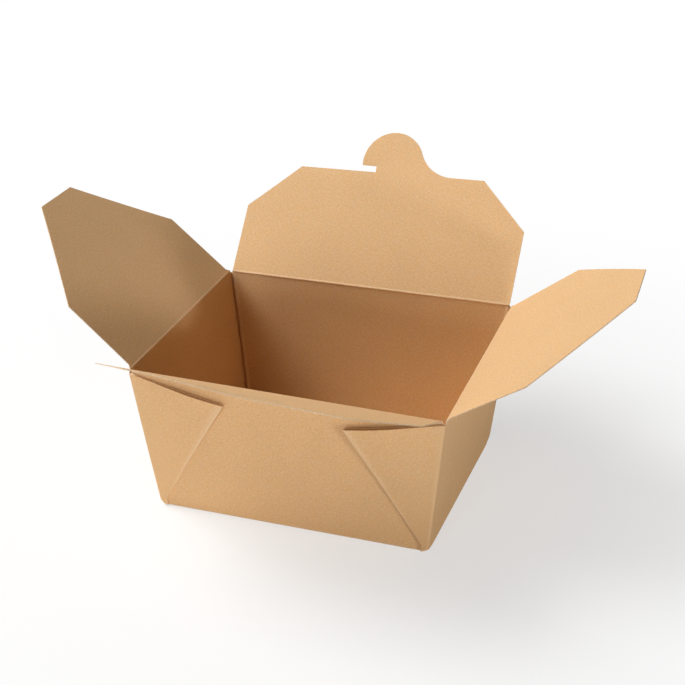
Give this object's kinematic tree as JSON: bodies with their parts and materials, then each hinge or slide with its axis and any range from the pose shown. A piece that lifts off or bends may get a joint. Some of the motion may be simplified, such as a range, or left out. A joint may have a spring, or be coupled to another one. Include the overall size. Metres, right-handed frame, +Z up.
{
  "type": "takeaway box",
  "caption": "Open-topped folded paperboard food box with leaning walls, glued corner webs and hinged top flaps, one of them ending in a locking hook.",
  "frame": {"origin": "the middle of the underside, which rests on the table", "axes": "+X from the left flap to the right one, +Y from the front flap to the back one with the hook, +Z up"},
  "size_m": [0.2455, 0.1963, 0.1193],
  "materials": {
    "kraft_board": "matte unbleached board with short fibres"
  },
  "bodies": {
    "tray": {"tray": "kraft_board"},
    "left_flap": {"left_flap": "kraft_board"},
    "right_flap": {"right_flap": "kraft_board"},
    "front_flap": {"front_flap": "kraft_board"},
    "back_flap": {"back_flap": "kraft_board"}
  },
  "joints": [
    {"name": "left_crease", "type": "hinge", "parent": "tray", "child": "left_flap", "pos_m": [-0.065, 0, 0.0635], "axis": [0, 1, 0], "range_deg": [-61.1, 139.5]},
    {"name": "right_crease", "type": "hinge", "parent": "tray", "child": "right_flap", "pos_m": [0.065, 0, 0.0635], "axis": [0, -1, 0], "range_deg": [-54.2, 145.8]},
    {"name": "front_crease", "type": "hinge", "parent": "tray", "child": "front_flap", "pos_m": [0, -0.0515, 0.06425], "axis": [-1, 0, 0], "range_deg": [-49.2, 151.05]},
    {"name": "back_crease", "type": "hinge", "parent": "tray", "child": "back_flap", "pos_m": [0, 0.0515, 0.06425], "axis": [1, 0, 0], "range_deg": [-68.2, 129.9]}
  ]
}
